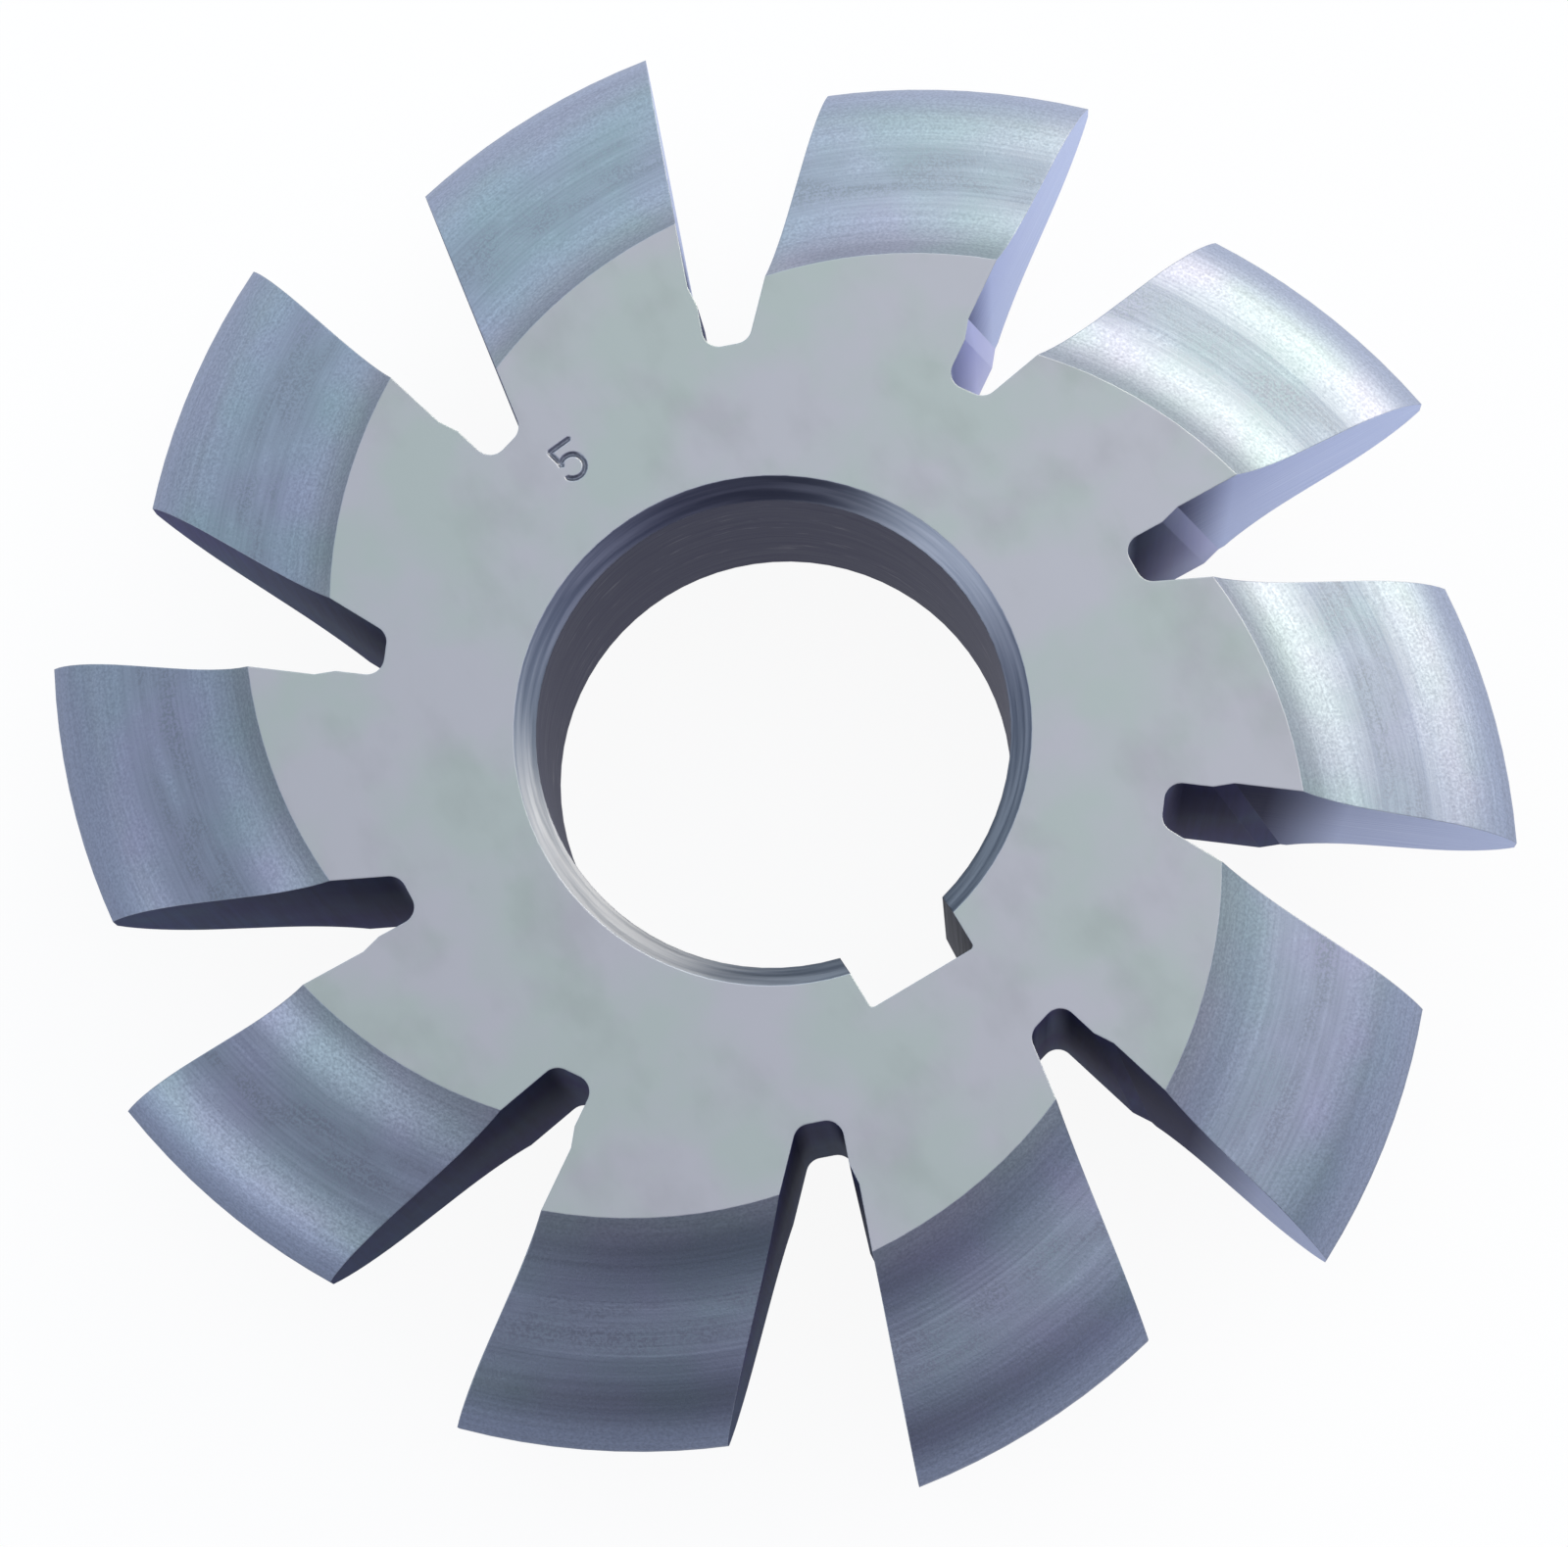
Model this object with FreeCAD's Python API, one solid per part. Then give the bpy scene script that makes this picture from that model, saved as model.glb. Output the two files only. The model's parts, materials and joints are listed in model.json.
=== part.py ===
import FreeCAD
import Part
import math
import os

# Disc milling cutter for gear teeth: one turned, milled and ground piece of high-speed steel.
# Ten form-relieved teeth stand on a plain hub with a keyed bore.
# Frame: millimetres, +Z is the bore axis, the origin is the bore's centre on the lower hub face,
# and the keyway points to -Y. Seen from +Z, the cutter turns clockwise.

# Blank and bore.
OUTER_DIAMETER = 101.0
HUB_WIDTH = 22.2
BORE_DIAMETER = 31.75
BORE_CHAMFER = 1.4
KEYWAY_WIDTH = 7.9
KEYWAY_DEPTH = 3.65              # from the bore wall to the keyway floor, on its centre line
KEYWAY_CORNER_RADIUS = 0.3

# Teeth. The form is the outline of a tooth in its cutting face: a narrow land at the tip, a round
# nose, a straight flank, and a flare that ends in the hub face.
TOOTH_COUNT = 10
KEYWAY_TO_CUTTING_FACE = 20.0    # degrees, clockwise from the keyway to the next cutting face
RELIEF_DROP = 6.0                # fall of the whole form over one tooth pitch
FORM_DEPTH = 15.05               # from the tip to the hub faces' edge
TIP_LAND = 1.8
NOSE_RADIUS = 9.5
FLANK_ANGLE = 15.8               # degrees, between a flank and the middle plane
FLANK_DEPTH = 7.5                # depth at which the flank's width is given
FLANK_WIDTH = 12.85
FLARE_RADIUS = 9.7

# Gullets. The side below the cutting face is plain, the heel side leans away from it.
GULLET_DEPTH = 24.1
GULLET_FLOOR_WIDTH = 2.95
GULLET_HEEL_ANGLE = 24.6         # degrees, between a heel and the cutting face behind it
GULLET_CORNER_RADIUS = 1.15
GRINDING_STOCK = 0.4             # taken off the cutting face when it was ground
GROUND_LENGTH_TOP = 19.6         # ground part of the cutting face, from the tip, at the upper hub face
GROUND_LENGTH_BOTTOM = 15.5      # and at the lower hub face
GRINDING_RUNOUT = 1.4            # length of the slope at the end of the ground part

CLEARANCE = 2.0                  # how far a cutting body reaches past the faces that it cuts
FLARE_OVERRUN = 8.0              # degrees by which the flare's arc runs on past the hub face
RELIEF_SECTIONS = 6              # outlines that the relieved form is drawn through, over one pitch

TIP_RADIUS = OUTER_DIAMETER / 2
BORE_RADIUS = BORE_DIAMETER / 2
MID_HEIGHT = HUB_WIDTH / 2
PITCH_ANGLE = 360.0 / TOOTH_COUNT
FLOOR_RADIUS = TIP_RADIUS - GULLET_DEPTH
FIRST_CUTTING_FACE = 270.0 - KEYWAY_TO_CUTTING_FACE
CENTRE = FreeCAD.Vector(0, 0, 0)
AXIS = FreeCAD.Vector(0, 0, 1)


def polar(radius, angle, height):
    turn = math.radians(angle)
    return FreeCAD.Vector(radius * math.cos(turn), radius * math.sin(turn), height)


def turned(shape, angle):
    copy = shape.copy()
    copy.rotate(CENTRE, AXIS, angle)
    return copy


def prism(outline, bottom, top):
    """Upright body over a closed outline of (x, y) points."""
    corners = [FreeCAD.Vector(x, y, bottom) for x, y in outline]
    face = Part.Face(Part.makePolygon(corners + corners[:1]))
    return face.extrude(FreeCAD.Vector(0, 0, top - bottom))


def flat_sided(lower, upper):
    """Body between two rims of as many corners, with a flat side on each pair of edges."""
    rims = [Part.makePolygon(rim + rim[:1]) for rim in (lower, upper)]
    faces = [Part.Face(rim) for rim in rims]
    for start in range(len(lower)):
        end = (start + 1) % len(lower)
        side = [lower[start], lower[end], upper[end], upper[start], lower[start]]
        faces.append(Part.Face(Part.makePolygon(side)))
    return Part.Solid(Part.Shell(faces))


def upright_edges(solid, places):
    """The upright edges of a prism that stand at these (x, y) places."""
    found = []
    for x, y in places:
        def distance(edge):
            centre = edge.CenterOfMass
            return math.hypot(centre.x - x, centre.y - y)
        found.append(min(solid.Edges, key=distance))
    return found


def tangent_arc_centre(end, radius, side):
    """Centre of the arc that runs from this end into the flank line. Side 1 is right of the line."""
    slope = math.radians(FLANK_ANGLE)
    along = (math.cos(slope), math.sin(slope))
    across = (side * math.sin(slope), -side * math.cos(slope))
    base = (FLANK_DEPTH + radius * across[0], FLANK_WIDTH / 2 + radius * across[1])
    offset = (end[0] - base[0], end[1] - base[1])
    ahead = offset[0] * along[0] + offset[1] * along[1]
    aside = offset[0] * along[1] - offset[1] * along[0]
    reach = ahead + side * math.sqrt(radius ** 2 - aside ** 2)
    return (base[0] + reach * along[0], base[1] + reach * along[1])


def form_outline():
    """Half of the form as (depth, half width) points: land, nose, flank, flare and its run past the hub."""
    slope = math.radians(FLANK_ANGLE)
    tip = (0.0, TIP_LAND / 2)
    hub = (FORM_DEPTH, HUB_WIDTH / 2)
    nose = tangent_arc_centre(tip, NOSE_RADIUS, 1)
    flare = tangent_arc_centre(hub, FLARE_RADIUS, -1)

    def on_arc(centre, radius, turn):
        return (centre[0] - radius * math.sin(turn), centre[1] + radius * math.cos(turn))

    nose_start = math.atan2(nose[0] - tip[0], tip[1] - nose[1])
    flare_end = math.atan2(hub[0] - flare[0], flare[1] - hub[1]) + math.radians(FLARE_OVERRUN)
    middle_of_nose = on_arc(nose, NOSE_RADIUS, (nose_start + slope) / 2)
    flank_start = on_arc(nose, NOSE_RADIUS, slope)
    flank_end = on_arc(flare, -FLARE_RADIUS, slope)
    middle_of_flare = on_arc(flare, -FLARE_RADIUS, (slope + flare_end) / 2)
    overrun = on_arc(flare, -FLARE_RADIUS, flare_end)
    return [tip, middle_of_nose, flank_start, flank_end, middle_of_flare, overrun]


def form_section(angle):
    """Outline of a tooth in the radial plane at this angle behind its cutting face."""
    drop = RELIEF_DROP * angle / PITCH_ANGLE
    outline = form_outline()

    def half(side):
        places = [polar(TIP_RADIUS - drop - depth, angle, MID_HEIGHT + side * width)
                  for depth, width in outline]
        root = polar(BORE_RADIUS / 2, angle, places[5].z)
        edges = [
            Part.Arc(places[0], places[1], places[2]).toShape(),
            Part.makeLine(places[2], places[3]),
            Part.Arc(places[3], places[4], places[5]).toShape(),
            Part.makeLine(places[5], root),
        ]
        return places[0], root, edges

    tip_upper, root_upper, upper = half(1)
    tip_lower, root_lower, lower = half(-1)
    across = [Part.makeLine(tip_upper, tip_lower), Part.makeLine(root_upper, root_lower)]
    return Part.Wire(Part.__sortEdges__(upper + lower + across))


def gullet():
    """Gullet in front of the cutting face that lies along +X, as milled and then ground."""
    outside = TIP_RADIUS + CLEARANCE
    heel_slope = math.tan(math.radians(GULLET_HEEL_ANGLE))
    heel_foot = -GRINDING_STOCK - GULLET_FLOOR_WIDTH
    heel_out = heel_foot - heel_slope * (outside - FLOOR_RADIUS)
    milled = prism(
        [
            (outside, -GRINDING_STOCK),
            (FLOOR_RADIUS, -GRINDING_STOCK),
            (FLOOR_RADIUS, heel_foot),
            (outside, heel_out),
        ],
        -CLEARANCE,
        HUB_WIDTH + CLEARANCE,
    )
    floor_corners = [(FLOOR_RADIUS, -GRINDING_STOCK), (FLOOR_RADIUS, heel_foot)]
    milled = milled.makeFillet(GULLET_CORNER_RADIUS, upright_edges(milled, floor_corners))

    # The wheel ground the cutting face down to a line that runs a little askew across the tooth.
    runout_slope = GRINDING_RUNOUT / GRINDING_STOCK
    skew = (GROUND_LENGTH_TOP - GROUND_LENGTH_BOTTOM) / HUB_WIDTH
    overlap = 2 * GRINDING_STOCK
    rims = []
    for height in (-CLEARANCE, HUB_WIDTH + CLEARANCE):
        end = TIP_RADIUS - GROUND_LENGTH_BOTTOM - skew * height
        rims.append([
            FreeCAD.Vector(end, 0, height),
            FreeCAD.Vector(outside, 0, height),
            FreeCAD.Vector(outside, -overlap, height),
            FreeCAD.Vector(end - runout_slope * overlap, -overlap, height),
        ])
    return milled.fuse(flat_sided(*rims))


def tooth():
    """One pitch of the cutter, cutting face along +X, from gullet floor to gullet floor."""
    middle_of_floor = -GRINDING_STOCK - GULLET_FLOOR_WIDTH / 2
    start = math.degrees(math.atan2(middle_of_floor, FLOOR_RADIUS))
    steps = [start + PITCH_ANGLE * step / (RELIEF_SECTIONS - 1) for step in range(RELIEF_SECTIONS)]
    relieved = Part.makeLoft([form_section(angle) for angle in steps], True, False)
    between_hub_faces = Part.makeCylinder(TIP_RADIUS + CLEARANCE, HUB_WIDTH)
    body = relieved.common(between_hub_faces)
    space = gullet()
    return body.cut([space, turned(space, PITCH_ANGLE)])


def bore():
    """Bore with a chamfer at each end and its keyway."""
    hole = Part.makeCylinder(BORE_RADIUS, HUB_WIDTH + 2 * CLEARANCE, FreeCAD.Vector(0, 0, -CLEARANCE))
    mouth_radius = BORE_RADIUS + BORE_CHAMFER
    chamfers = []
    for height, outward in ((0.0, -1), (HUB_WIDTH, 1)):
        base = FreeCAD.Vector(0, 0, height + outward * CLEARANCE)
        chamfers.append(
            Part.makeCone(
                mouth_radius + CLEARANCE,
                BORE_RADIUS,
                BORE_CHAMFER + CLEARANCE,
                base,
                FreeCAD.Vector(0, 0, -outward),
            )
        )
    half = KEYWAY_WIDTH / 2
    floor = -BORE_RADIUS - KEYWAY_DEPTH
    keyway = prism(
        [(-half, floor), (half, floor), (half, 0.0), (-half, 0.0)],
        -CLEARANCE,
        HUB_WIDTH + CLEARANCE,
    )
    keyway = keyway.makeFillet(KEYWAY_CORNER_RADIUS, upright_edges(keyway, [(-half, floor), (half, floor)]))
    return hole.multiFuse(chamfers + [keyway])


def milling_cutter():
    unit = turned(tooth(), FIRST_CUTTING_FACE)
    copies = [turned(unit, PITCH_ANGLE * step) for step in range(1, TOOTH_COUNT)]
    ring = unit.multiFuse(copies).removeSplitter()
    return ring.cut(bore()).removeSplitter()


cutter = milling_cutter()
solid = cutter.Solids[0]
os.makedirs("parts", exist_ok=True)
solid.exportStep("parts/milling_cutter.step")
box = solid.BoundBox
print("solids", len(cutter.Solids), "valid", solid.isValid(), "faces", len(solid.Faces))
print("volume", round(solid.Volume, 1), "box", round(box.XLength, 3), round(box.YLength, 3), round(box.ZLength, 3))
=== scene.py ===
import json
import math

import bmesh
import bpy
from mathutils import Matrix, Vector


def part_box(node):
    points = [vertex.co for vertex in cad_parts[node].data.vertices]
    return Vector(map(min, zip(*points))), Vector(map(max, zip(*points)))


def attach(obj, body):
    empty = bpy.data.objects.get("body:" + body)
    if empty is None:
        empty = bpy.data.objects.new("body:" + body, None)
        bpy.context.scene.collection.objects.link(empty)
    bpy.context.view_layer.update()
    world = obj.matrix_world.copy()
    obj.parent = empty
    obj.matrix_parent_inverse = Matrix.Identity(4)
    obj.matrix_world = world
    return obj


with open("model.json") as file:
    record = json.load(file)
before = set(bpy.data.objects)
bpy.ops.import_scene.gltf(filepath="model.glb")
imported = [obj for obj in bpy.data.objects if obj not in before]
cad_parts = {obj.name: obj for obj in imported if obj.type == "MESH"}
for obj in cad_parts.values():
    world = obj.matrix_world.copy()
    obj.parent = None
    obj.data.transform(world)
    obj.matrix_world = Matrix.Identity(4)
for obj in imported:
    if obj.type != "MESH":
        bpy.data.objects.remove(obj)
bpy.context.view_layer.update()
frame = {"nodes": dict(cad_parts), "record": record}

# Cutter: one piece of high-speed steel, turned, milled, hardened and ground, carried over from the
# frame as it is. Each of those tools left a finish of its own, so the sections below follow the work
# in its order, and each lays one finish on its own faces. Sizes are in mm, and MM turns them to metres.
MM = 0.001
cutter = frame["nodes"]["milling_cutter"]
cutter.data.materials.clear()

# Flanks: the curved sides of the teeth, relief-turned behind each cutting edge with one form tool,
# then hardened and vapour-blasted. To the eye: bluish satin steel with a sparkling grain, and long
# faint tool marks that follow the relief. They keep the first slot, which every face starts with.
TEETH = 10
FIRST_CUTTING_FACE = math.radians(34)   # its angle from +X round the bore
RELIEF_DROP = 6.0                       # the fall of the form over one tooth pitch
BLASTED_GRAIN = 0.2                     # really half as wide, drawn as coarse as it needs to show
TOOL_MARKS = (22.0, 0.22, 1.0)          # their length along the relief, and their width
WORN_CLOUDS = (6.0, 2.0, 1.0)
WORN_BELT_TOP = (4.5, 7.0)              # depths below the tip between which the belt of clouds fades in
WORN_BELT_FOOT = (11.5, 9.0)            # and out again
TIP_PAINTED_REFLECTION = (3.2, 0.8)                  # depths between which a painted bluish reflection on the tip fades in
TINTS = 9.0
STONED_EDGE = 0.12                      # the width of the edges, once their burr is stoned off
EDGE_TURN = (0.995, 0.93)               # cosines of the edge's turn, where the wear begins and is full
EDGE_WEAR_AND_HIGHLIGHT = 0.45                        # how far the edges are lightened, partly as wear and partly as a painted highlight
NOISE_SPREAD = (0.35, 0.65)             # most values of a noise lie between these
NOISE_LIMITS = (0.3, 0.7)               # and almost all between these


def linear(hex_colour):
    """An sRGB hex colour, such as #A0B0C0, as linear RGBA."""
    parts = [int(hex_colour[i:i + 2], 16) / 255 for i in (1, 3, 5)]
    return [c / 12.92 if c <= 0.04045 else ((c + 0.055) / 1.055) ** 2.4 for c in parts] + [1.0]


def add(tree, kind, *inputs, **named):
    """Adds a node with its settings. Inputs, in order or by name, are values or the nodes that feed them."""
    made = tree.nodes.new("ShaderNode" + kind)
    for name in filter(str.islower, named):
        setattr(made, name, named[name])
    sockets = [socket for socket in made.inputs if socket.enabled]
    values = list(zip(sockets, inputs))
    values += [(made.inputs[name.replace("_", " ")], named[name]) for name in named if not name.islower()]
    for socket, value in values:
        if isinstance(value, bpy.types.Node):
            value = next(output for output in value.outputs if output.enabled)
        if isinstance(value, bpy.types.NodeSocket):
            tree.links.new(value, socket)
        else:
            socket.default_value = value
    return made


def start_finish(name):
    """A new material in the cutter's next slot: its node tree, and the place on the cutter in mm."""
    material = bpy.data.materials.new(name)
    material.use_nodes = True
    tree = material.node_tree
    tree.nodes.clear()
    cutter.data.materials.append(material)
    metres = add(tree, "TexCoord").outputs["Object"]
    return tree, add(tree, "VectorMath", metres, Scale=1 / MM, operation="SCALE")


def bare_steel(tree, colour, roughness, relief, depth):
    """Ends a finish. Its relief is depth mm deep, and its edges are stoned round and lightened, partly as
    wear and partly as a painted highlight.
    """
    stoned = add(tree, "Bevel", STONED_EDGE * MM, samples=4)
    unstoned = add(tree, "NewGeometry").outputs["Normal"]
    kept = add(tree, "VectorMath", stoned, unstoned, operation="DOT_PRODUCT")
    # Partly wear and partly a painted highlight: the edges are mixed towards a lighter steel.
    wear_and_highlight = add(tree, "MapRange", kept, *EDGE_TURN, 0.0, EDGE_WEAR_AND_HIGHLIGHT)
    colour = add(tree, "Mix", wear_and_highlight, colour, linear("#B9BEC9"), data_type="RGBA")
    bumped = add(tree, "Bump", Height=relief, Distance=depth * MM, Normal=stoned)
    steel = add(tree, "BsdfPrincipled", Metallic=1.0, Base_Color=colour, Roughness=roughness, Normal=bumped)
    add(tree, "OutputMaterial", steel)
    return steel


def lay_on(test):
    """Lays the newest finish on the faces that pass a test of their radius in mm, and of how far they
    look outward, ahead in the sense of rotation, and up or down."""
    for face in cutter.data.polygons:
        radial = Vector((*face.center.xy, 0)).normalized()
        ahead = radial.cross(Vector((0, 0, 1)))
        look = [face.normal.dot(radial), face.normal.dot(ahead), abs(face.normal.z)]
        if test(face.center.xy.length / MM, *look):
            face.material_index = len(cutter.data.materials) - 1


tip_radius = max(vertex.co.xy.length for vertex in cutter.data.vertices) / MM
tree, place = start_finish("blasted_high_speed_steel")
x, y, _ = add(tree, "SeparateXYZ", place).outputs
radius = add(tree, "VectorMath", add(tree, "CombineXYZ", x, y), operation="LENGTH")
around = add(tree, "Math", y, x, operation="ARCTAN2")
turn = add(tree, "Math", around, FIRST_CUTTING_FACE, operation="SUBTRACT")
turn = add(tree, "Math", turn, math.tau, operation="FLOORED_MODULO")
pitches = add(tree, "Math", turn, math.tau / TEETH, operation="DIVIDE")
fall = add(tree, "Math", add(tree, "Math", pitches, operation="FRACT"), RELIEF_DROP, operation="MULTIPLY")
depth = add(tree, "Math", tip_radius, add(tree, "Math", radius, fall, operation="ADD"), operation="SUBTRACT")
along = add(tree, "Math", turn, tip_radius, operation="MULTIPLY")
relieved = add(tree, "CombineXYZ", along, depth)
grain = add(tree, "TexNoise", place, 1 / BLASTED_GRAIN, 2.0)
marks = add(tree, "TexNoise", add(tree, "VectorMath", relieved, TOOL_MARKS, operation="DIVIDE"), 1.0, 2.0)
clouds = add(tree, "TexNoise", add(tree, "VectorMath", relieved, WORN_CLOUDS, operation="DIVIDE"), 1.0, 3.0)
tints = add(tree, "TexNoise", place, 1 / TINTS, 2.0)
tip_reflection = add(tree, "MapRange", depth, *TIP_PAINTED_REFLECTION)
below_top = add(tree, "MapRange", depth, *WORN_BELT_TOP)
above_foot = add(tree, "MapRange", depth, *WORN_BELT_FOOT)
worn_belt = add(tree, "Math", below_top, above_foot, operation="MULTIPLY")
worn_belt = add(tree, "Math", worn_belt, add(tree, "MapRange", clouds, 0.3, 0.56), operation="MULTIPLY")
worn_belt = add(tree, "Math", worn_belt, add(tree, "MapRange", grain, 0.42, 0.58), operation="MULTIPLY")
blend = add(tree, "MapRange", tints, *NOISE_SPREAD)
colour = add(tree, "Mix", blend, linear("#999BAB"), linear("#929EA5"), data_type="RGBA")
# Painted reflection: the tips are tinted bluer, as the reflection they show.
colour = add(tree, "Mix", tip_reflection, colour, linear("#9AA3BA"), data_type="RGBA")
colour = add(tree, "Mix", worn_belt, colour, linear("#81868F"), data_type="RGBA")
shade = add(tree, "MapRange", grain, 0.32, 0.68, 0.88, 1.12)
colour = add(tree, "VectorMath", colour, shade, operation="SCALE")
shade = add(tree, "MapRange", marks, *NOISE_LIMITS, 0.92, 1.08)
colour = add(tree, "VectorMath", colour, shade, operation="SCALE")
roughness = add(tree, "MapRange", grain, *NOISE_LIMITS, 0.49, 0.42)
bare_steel(tree, colour, roughness, add(tree, "Math", grain, marks, operation="ADD"), 0.01)

# Gullets: milled through between the teeth before hardening. Their floors, the backs of the teeth and
# the foot of each tooth's front are never ground, so they keep the oxide of the quench. To the eye:
# dark blue to violet steel with mill marks across the width, and painted paler towards the key light.
MILL_MARKS = (0.5, 0.5, 12.0)
OXIDE_PATCHES = 14.0
PAINTED_LIGHT_SIDE = math.radians(27)      # towards the key light, where the fronts are painted paler; a guess: on this side the photograph's tooth fronts are palest
PAINTED_LIGHT_REACH = (24.0, 31.0)               # how far that way the painted light begins, and is full
FORM_ROOT = 31.0                        # the tooth form ends at this radius, and what lies deeper is gullet
FRONT_LOOK = 0.8                        # a tooth's front looks ahead more than this, as a share of 1
BACK_LOOK = 0.9                         # the land looks outward more than this, and a tooth's back less
SLOPED_LOOK = 0.3                       # a flank looks up or down more than this, and a front less
UPRIGHT_LOOK = 0.02                     # what was milled straight through looks up or down less than this
tree, place = start_finish("quenched_high_speed_steel")
patches = add(tree, "TexNoise", place, 1 / OXIDE_PATCHES, 4.0)
marks = add(tree, "TexNoise", add(tree, "VectorMath", place, MILL_MARKS, operation="DIVIDE"), 1.0, 2.0)
blend = add(tree, "MapRange", patches, 0.4, 0.6)
colour = add(tree, "Mix", blend, linear("#29416A"), linear("#38386E"), data_type="RGBA")
shade = add(tree, "MapRange", marks, *NOISE_LIMITS, 0.85, 1.15)
colour = add(tree, "VectorMath", colour, shade, operation="SCALE")
# Painted light: the steel is made paler towards the key light's side.
lit_side = Vector((math.cos(PAINTED_LIGHT_SIDE), math.sin(PAINTED_LIGHT_SIDE), 0))
that_way = add(tree, "VectorMath", place, lit_side, operation="DOT_PRODUCT")
painted_light = add(tree, "MapRange", that_way, *PAINTED_LIGHT_REACH)
colour = add(tree, "Mix", painted_light, colour, linear("#C4C8EA"), data_type="RGBA")
bare_steel(tree, colour, add(tree, "MapRange", patches, *NOISE_LIMITS, 0.5, 0.6), marks, 0.01)
lay_on(lambda radius, outward, ahead, up: up < SLOPED_LOOK and ahead > FRONT_LOOK)
lay_on(lambda radius, outward, ahead, up: up < UPRIGHT_LOOK and (radius < FORM_ROOT or outward < BACK_LOOK))

# Hub faces: both are ground flat and parallel on a surface grinder, with a fine wheel.
# To the eye: an even satin grey, with hardly seen wheel marks and faint cool and warm coolant stains.
WHEEL_MARKS = (0.12, 9.0, 9.0)
COOLANT_STAINS = 8.0
SMUDGES = (4.0, 6.0, 4.0)
HUB_LOOK = 0.999                        # how squarely up or down a hub face looks
tree, place = start_finish("surface_ground_high_speed_steel")
stains = add(tree, "TexNoise", place, 1 / COOLANT_STAINS, 3.0)
smudges = add(tree, "TexNoise", add(tree, "VectorMath", place, SMUDGES, operation="DIVIDE"), 1.0, 4.0)
marks = add(tree, "TexNoise", add(tree, "VectorMath", place, WHEEL_MARKS, operation="DIVIDE"), 1.0, 1.0)
blend = add(tree, "MapRange", stains, 0.4, 0.6)
colour = add(tree, "Mix", blend, linear("#ABB1AB"), linear("#B1AFB1"), data_type="RGBA")
shade = add(tree, "MapRange", smudges, 0.3, 0.5, 0.93, 1.0)
colour = add(tree, "VectorMath", colour, shade, operation="SCALE")
hub_steel = bare_steel(tree, colour, add(tree, "MapRange", smudges, *NOISE_LIMITS, 0.54, 0.47), marks, 0.0013)
lay_on(lambda radius, outward, ahead, up: up > HUB_LOOK)

# Size number: the form's number, 5, struck into the upper hub face with a steel punch before hardening.
# To the eye: dull V grooves, each with one light flank. They are cut into a small round field of the face,
# a piece of its own with the same finish, which shows through an opening in the finish of the hub face.
FIELD_RADIUS = 1.85
FIELD_RIM = 0.1                         # how far the field runs on under the hub face
FIELD_DEPTH = 0.5
FIELD_GAP = 0.002                       # how far below the hub face it lies, so that the two never mix
FIELD_CORNERS = 64
NUMBER_ANGLE = math.radians(95.8)       # the way from the bore to the number, which is also its upright
NUMBER_FOOT_RADIUS = 21.65
STROKE_WIDTH = 0.4                      # on the hub face
STROKE_DEPTH = 0.2
STROKE_REACH = 0.1                      # how far a wedge stands above the hub face
BAR_HEIGHT = 2.55
BAR_LEFT = -0.78
BAR_RIGHT = 0.82
STEM_FOOT = (-0.6, 1.3)
BOWL_CENTRE = (-0.08, 0.84)
BOWL_RADIUS = 0.84
BOWL_START = math.radians(140)
BOWL_END = math.radians(-150)
BOWL_STEPS = 20
PUNCH_GRAIN = 0.2
ground = cutter.data.materials[-1].copy()
hub_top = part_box("milling_cutter")[1][2] / MM
upwards = Vector((math.cos(NUMBER_ANGLE), math.sin(NUMBER_ANGLE), 0))
sideways = Vector((upwards.y, -upwards.x, 0))
field_middle = upwards * (NUMBER_FOOT_RADIUS + BAR_HEIGHT / 2) + Vector((0, 0, hub_top))
from_middle = add(tree, "VectorMath", place, field_middle, operation="DISTANCE")
outside_field = add(tree, "Math", from_middle, FIELD_RADIUS, operation="GREATER_THAN")
tree.links.new(outside_field.outputs["Value"], hub_steel.inputs["Alpha"])
tree, place = start_finish("struck_high_speed_steel")
grain = add(tree, "TexNoise", place, 1 / PUNCH_GRAIN, 2.0)
blend = add(tree, "MapRange", grain, *NOISE_SPREAD)
colour = add(tree, "Mix", blend, linear("#84868E"), linear("#989AA2"), data_type="RGBA")
bare_steel(tree, colour, add(tree, "MapRange", grain, *NOISE_LIMITS, 0.4, 0.3), grain, 0.004)
struck = cutter.data.materials.pop()
disc = bmesh.new()
middle = Matrix.Translation((field_middle - Vector((0, 0, FIELD_GAP + FIELD_DEPTH / 2))) * MM)
reach = (FIELD_RADIUS + FIELD_RIM) * MM
bmesh.ops.create_cone(
    disc,
    cap_ends=True,
    segments=FIELD_CORNERS,
    radius1=reach,
    radius2=reach,
    depth=FIELD_DEPTH * MM,
    matrix=middle,
)
mesh = bpy.data.meshes.new("number_field")
disc.to_mesh(mesh)
mesh.materials.append(struck)
mesh.materials.append(ground)
mesh.polygons.foreach_set("material_index", [1] * len(mesh.polygons))
field = bpy.data.objects.new("number_field", mesh)
bpy.context.scene.collection.objects.link(field)
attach(field, "root")


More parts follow.
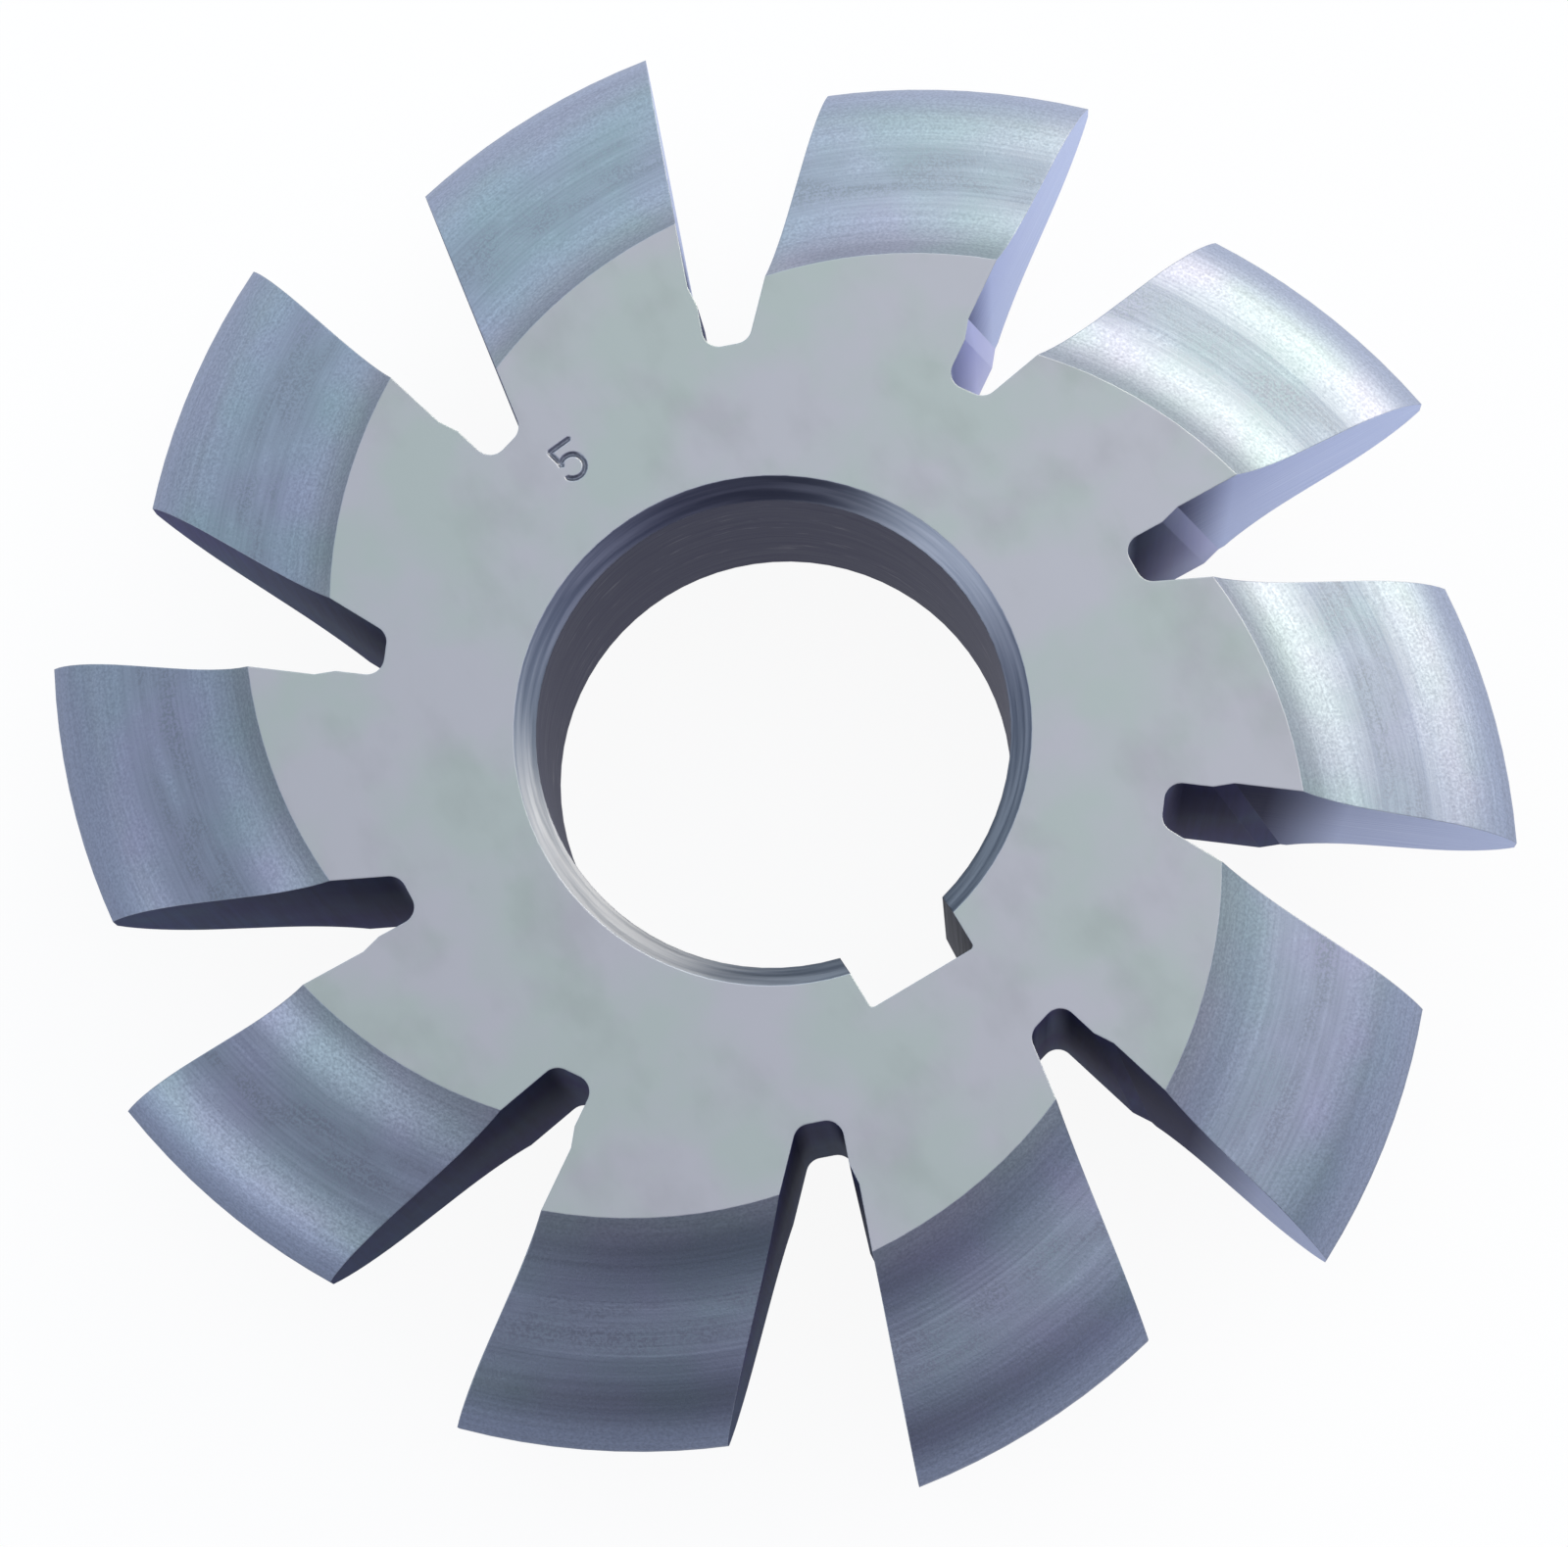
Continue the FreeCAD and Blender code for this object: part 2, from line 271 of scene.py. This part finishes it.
def strike(name, path):
    """Takes a V groove out of the field, along a path of (sideways, upwards) points in mm."""
    path = [Vector(point) for point in path]
    half_width = STROKE_WIDTH / 2 * (1 + STROKE_REACH / STROKE_DEPTH)
    wedge = bmesh.new()

    def corner(point, rise):
        on_face = sideways * point.x + upwards * (NUMBER_FOOT_RADIUS + point.y)
        return wedge.verts.new((on_face + Vector((0, 0, hub_top + rise))) * MM)

    rings = []
    for step, point in enumerate(path):
        ahead = (path[min(step + 1, len(path) - 1)] - path[max(step - 1, 0)]).normalized()
        beside = Vector((-ahead.y, ahead.x)) * half_width
        rings.append([
            corner(point + beside, STROKE_REACH),
            corner(point, -STROKE_DEPTH),
            corner(point - beside, STROKE_REACH),
        ])
    for first, second in zip(rings, rings[1:]):
        for side in range(3):
            other = (side + 1) % 3
            wedge.faces.new([first[side], first[other], second[other], second[side]])
    for ring, point, inner in ((rings[0], path[0], path[1]), (rings[-1], path[-1], path[-2])):
        end = corner(point + (point - inner).normalized() * half_width, STROKE_REACH)
        for side in range(3):
            wedge.faces.new([ring[side], ring[(side + 1) % 3], end])
    bmesh.ops.recalc_face_normals(wedge, faces=wedge.faces)
    mesh = bpy.data.meshes.new(name)
    wedge.to_mesh(mesh)
    mesh.materials.append(struck)
    punch = bpy.data.objects.new(name, mesh)
    bpy.context.scene.collection.objects.link(punch)
    punch.hide_render = punch.hide_viewport = True
    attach(punch, "root")
    field.modifiers.new(name, "BOOLEAN").object = punch


bowl = []
for step in range(BOWL_STEPS + 1):
    turn = BOWL_START + (BOWL_END - BOWL_START) * step / BOWL_STEPS
    bowl.append(Vector(BOWL_CENTRE) + BOWL_RADIUS * Vector((math.cos(turn), math.sin(turn))))
strike("bar_of_number", [(BAR_LEFT, BAR_HEIGHT), (BAR_RIGHT, BAR_HEIGHT)])
strike("stem_of_number", [(BAR_LEFT, BAR_HEIGHT), STEM_FOOT])
strike("bowl_of_number", bowl)

# Keyway: broached through the hub after the bore, for the arbor's key.
# To the eye: dull dark steel, with fine lines that run straight through.
BROACH_LINES = (0.25, 0.25, 30.0)
KEYWAY_REACH = 20.6                     # nothing but bore, chamfers and keyway lies within this radius
CHAMFER_LOOK = 0.5                      # the chamfers look up or down more than this, and the keyway less
tree, place = start_finish("broached_high_speed_steel")
lines = add(tree, "TexNoise", add(tree, "VectorMath", place, BROACH_LINES, operation="DIVIDE"), 1.0, 2.0)
blend = add(tree, "MapRange", lines, *NOISE_SPREAD)
colour = add(tree, "Mix", blend, linear("#3E4050"), linear("#4A4C5E"), data_type="RGBA")
bare_steel(tree, colour, add(tree, "MapRange", lines, *NOISE_LIMITS, 0.55, 0.45), lines, 0.004)
lay_on(lambda radius, outward, ahead, up: radius < KEYWAY_REACH and up < CHAMFER_LOOK)

# Bore: ground round to a sliding fit on the arbor, its wall made dark blue-violet as painted shade.
# To the eye: dark, with fine rings round the wall and a few silvery rubs from the arbor.
BORE_RINGS = (9.0, 9.0, 0.25)
ARBOR_RUBS = (3.0, 3.0, 0.7)
BORE_MARGIN = 0.05                      # a face of the bore has its middle within this of the bore's radius
INWARD_LOOK = -0.98                     # and looks outward less than this
tree, place = start_finish("shade_painted_bore_steel")
rings = add(tree, "TexNoise", add(tree, "VectorMath", place, BORE_RINGS, operation="DIVIDE"), 1.0, 2.0)
rubs = add(tree, "TexNoise", add(tree, "VectorMath", place, ARBOR_RUBS, operation="DIVIDE"), 1.0, 4.0)
blend = add(tree, "MapRange", rings, *NOISE_SPREAD)
# Painted shade: the wall is made dark blue-violet, as the shade inside the bore.
colour = add(tree, "Mix", blend, linear("#2B3156"), linear("#36385C"), data_type="RGBA")
colour = add(tree, "Mix", add(tree, "MapRange", rubs, 0.62, 0.8), colour, linear("#7A7988"), data_type="RGBA")
bare_steel(tree, colour, add(tree, "MapRange", rings, *NOISE_LIMITS, 0.42, 0.5), rings, 0.003)
bore_mount = next(mount for mount in frame["record"]["mounts"] if mount["name"] == "bore")
bore_reach = bore_mount["dims"]["r_mm"] + BORE_MARGIN
lay_on(lambda radius, outward, ahead, up: radius < bore_reach and outward < INWARD_LOOK)

# Bore chamfers: turned at 45 degrees on both ends of the bore, to lead the arbor in.
# To the eye: a bright narrow ring, with one or two turning grooves.
TURNING_GROOVES = (9.0, 9.0, 0.3)
tree, place = start_finish("turned_high_speed_steel")
grooves = add(tree, "TexNoise", add(tree, "VectorMath", place, TURNING_GROOVES, operation="DIVIDE"), 1.0, 2.0)
blend = add(tree, "MapRange", grooves, *NOISE_SPREAD)
colour = add(tree, "Mix", blend, linear("#7E838F"), linear("#A3A6B0"), data_type="RGBA")
bare_steel(tree, colour, add(tree, "MapRange", grooves, *NOISE_LIMITS, 0.34, 0.42), grooves, 0.009)
lay_on(lambda radius, outward, ahead, up: radius < KEYWAY_REACH and CHAMFER_LOOK < up < HUB_LOOK)

# Cutting faces: ground radially through the bore's axis with a thin dish wheel, as at each resharpening.
# To the eye: the brightest steel on the tool, pale and slightly violet, with fine lines from hub to tip,
# and darker and duller towards the hub, as painted shade of the gullet that reaches further out away from the
# key light.
WHEEL_LINES = (12.0, 1.0, 0.12)
SHADE_FULL_RADIUS = 36.5                    # radius inside which the painted shade of the gullet is full
SHADE_END_RADIUS = 42.5                      # and outside which it is all gone
SHADE_SIDE_GAIN = 0.23                  # how much sooner the painted shade goes, for each mm towards the lit side
DARK_FOOT_ROUGHNESS = 0.18                  # what the darkened foot adds to the roughness of the ground steel
IN_PLANE = 0.05                         # how far a cutting face may lie off its radial plane
tree, place = start_finish("dish_ground_high_speed_steel")
x, y, height = add(tree, "SeparateXYZ", place).outputs
radius = add(tree, "VectorMath", add(tree, "CombineXYZ", x, y), operation="LENGTH")
in_face = add(tree, "CombineXYZ", radius, 0.0, height)
lines = add(tree, "TexNoise", add(tree, "VectorMath", in_face, WHEEL_LINES, operation="DIVIDE"), 1.0, 2.0)
blend = add(tree, "MapRange", lines, *NOISE_SPREAD)
colour = add(tree, "Mix", blend, linear("#AEBDE6"), linear("#BFCCF0"), data_type="RGBA")
# Painted shade of the gullet: darker towards the hub, reaching further out on the side away from the key
# light.
gain = add(tree, "VectorMath", place, lit_side * SHADE_SIDE_GAIN, operation="DOT_PRODUCT")
shade_radius = add(tree, "Math", radius, gain, operation="ADD")
painted_shade = add(tree, "MapRange", shade_radius, SHADE_END_RADIUS, SHADE_FULL_RADIUS)
colour = add(tree, "Mix", painted_shade, colour, linear("#2D3262"), data_type="RGBA")
roughness = add(tree, "MapRange", lines, *NOISE_LIMITS, 0.44, 0.36)
roughness = add(tree, "Math", painted_shade, DARK_FOOT_ROUGHNESS, roughness, operation="MULTIPLY_ADD")
bare_steel(tree, colour, roughness, lines, 0.003)
lay_on(
    lambda radius, outward, ahead, up:
    up < SLOPED_LOOK and ahead > FRONT_LOOK and abs(outward) * radius < IN_PLANE
)

# Floor: a plain sheet of white paper that the cutter lies on, larger than any view of it. It keeps the
# cutter's shadow, thinned by the share of plain white that the camera sees. In the steel's reflections
# it glows as painted light: white on the side of the key light, and falling off to grey on the other side.
FLOOR_SIZE = 6000.0
FLOOR_GAP = 0.2                         # how far below the cutter it lies, so that the two never mix
SEEN_WHITE = 0.93                       # the share of plain white that the camera sees
MIRRORED_GLOW = 0.6                    # and the share of painted glow that the steel mirrors
GLOW_SIDE = math.radians(32)           # the way from the cutter's middle to the side where the painted glow is white
GLOW_REACH = 70.0                      # how far from the middle the painted glow is fully white, and fully grey
GLOW_GREY = 0.2
bpy.ops.mesh.primitive_plane_add(size=FLOOR_SIZE * MM, location=(0, 0, -FLOOR_GAP * MM))
floor = bpy.context.object
floor.name = "floor"
paper = bpy.data.materials.new("white_paper")
paper.use_nodes = True
tree = paper.node_tree
tree.nodes.clear()
ray = add(tree, "LightPath")
glossy, clear, direct = (ray.outputs[f"Is {kind} Ray"] for kind in ("Glossy", "Transmission", "Camera"))
mirrored = add(tree, "Math", glossy, clear, operation="MAXIMUM")
mirrored = add(tree, "Math", mirrored, MIRRORED_GLOW, operation="MULTIPLY")
seen = add(tree, "Math", direct, SEEN_WHITE, mirrored, operation="MULTIPLY_ADD")
# Painted light: in the steel's reflections the paper glows white towards the key light and grey away from it.
glow_side = Vector((math.cos(GLOW_SIDE), math.sin(GLOW_SIDE), 0))
place = add(tree, "TexCoord").outputs["Object"]
that_way = add(tree, "VectorMath", place, glow_side / MM, operation="DOT_PRODUCT")
painted_glow = add(tree, "MapRange", that_way, -GLOW_REACH, GLOW_REACH, GLOW_GREY, 1.0)
painted_glow = add(tree, "Math", painted_glow, direct, operation="MAXIMUM")
matt = add(tree, "BsdfDiffuse", linear("#F2F2F2"))
white = add(tree, "Emission", linear("#FFFFFF"), painted_glow)
add(tree, "OutputMaterial", add(tree, "MixShader", seen, matt, white))
floor.data.materials.append(paper)

# Camera: looks almost straight down on the hub face, as in the photograph, from a little below
# the picture's middle. The photograph is 1600 pixels wide, and its focal length is in pixels.
PHOTO_WIDTH = 1600
FOCAL_PIXELS = 5369
SENSOR_MM = 36.0
CAMERA_PLACE = Vector((-18.89, -62.73, 366.05)) * MM
CAMERA_TARGET = Vector((-0.29, -1.10, 11.1)) * MM
PICTURE_UP = math.radians(59.32)
camera = bpy.data.objects.new("camera", bpy.data.cameras.new("camera"))
bpy.context.scene.collection.objects.link(camera)
forward = (CAMERA_TARGET - CAMERA_PLACE).normalized()
right = forward.cross(Vector((math.cos(PICTURE_UP), math.sin(PICTURE_UP), 0))).normalized()
up = right.cross(forward)
camera.matrix_world = Matrix.Translation(CAMERA_PLACE) @ Matrix((right, up, -forward)).transposed().to_4x4()
camera.data.sensor_width = SENSOR_MM
camera.data.lens = FOCAL_PIXELS * SENSOR_MM / PHOTO_WIDTH
bpy.context.scene.camera = camera


# Light: a large warm-white soft box low on the picture's upper right, and weaker ones overhead, low on
# the lower left and high on the right, in a room that is bluish and light beyond the picture's top, and
# violet and dim on its near side.
def picture_direction(azimuth, elevation):
    """Unit vector away from the cutter. Azimuth is in the picture, 0 to its right and 90 to its top."""
    turn = PICTURE_UP - math.pi / 2 + math.radians(azimuth)
    rise = math.radians(elevation)
    return Vector((math.cos(rise) * math.cos(turn), math.cos(rise) * math.sin(turn), math.sin(rise)))


def soft_box(name, azimuth, elevation, distance, size, radiance, colour):
    """Square area light aimed at the cutter, its distance and size in metres. A white sheet that faces a
    radiance of 1 all round is white."""
    out = picture_direction(azimuth, elevation)
    lamp = bpy.data.objects.new(name, bpy.data.lights.new(name, "AREA"))
    lamp.data.shape = "SQUARE"
    lamp.data.size = size
    lamp.data.energy = radiance * math.pi * size ** 2
    lamp.data.color = linear(colour)[:3]
    lamp.location = out * distance
    lamp.rotation_euler = out.to_track_quat("Z", "Y").to_euler()
    bpy.context.scene.collection.objects.link(lamp)


soft_box("key", azimuth=50, elevation=16, distance=1.3, size=1.3, radiance=3.3, colour="#FFF0D4")
soft_box("overhead", azimuth=90, elevation=84, distance=1.5, size=1.3, radiance=0.3, colour="#FFF8EE")
soft_box("left_fill", azimuth=217, elevation=19, distance=1.3, size=0.9, radiance=1.7, colour="#F0FAFF")
soft_box("right_fill", azimuth=-8, elevation=57, distance=1.3, size=1.2, radiance=0.6, colour="#F6F2FF")
ROOM_FAR_SIDE = picture_direction(84, -15)
ROOM_LIGHT = (0.12, 1.9)                # on the near side, and on the far side
world = bpy.data.worlds.new("room")
world.use_nodes = True
bpy.context.scene.world = world
tree = world.node_tree
tree.nodes.clear()
towards = add(tree, "TexCoord").outputs["Generated"]
far_side = add(tree, "VectorMath", towards, ROOM_FAR_SIDE, operation="DOT_PRODUCT")
strength = add(tree, "MapRange", far_side, -1.0, 0.6, *ROOM_LIGHT)
blend = add(tree, "MapRange", far_side, -1.0, 0.3)
sky = add(tree, "Mix", blend, linear("#B6B4E2"), linear("#C8DAE6"), data_type="RGBA")
add(tree, "OutputWorld", add(tree, "Background", sky, strength))
bpy.context.scene.view_settings.view_transform = "Standard"
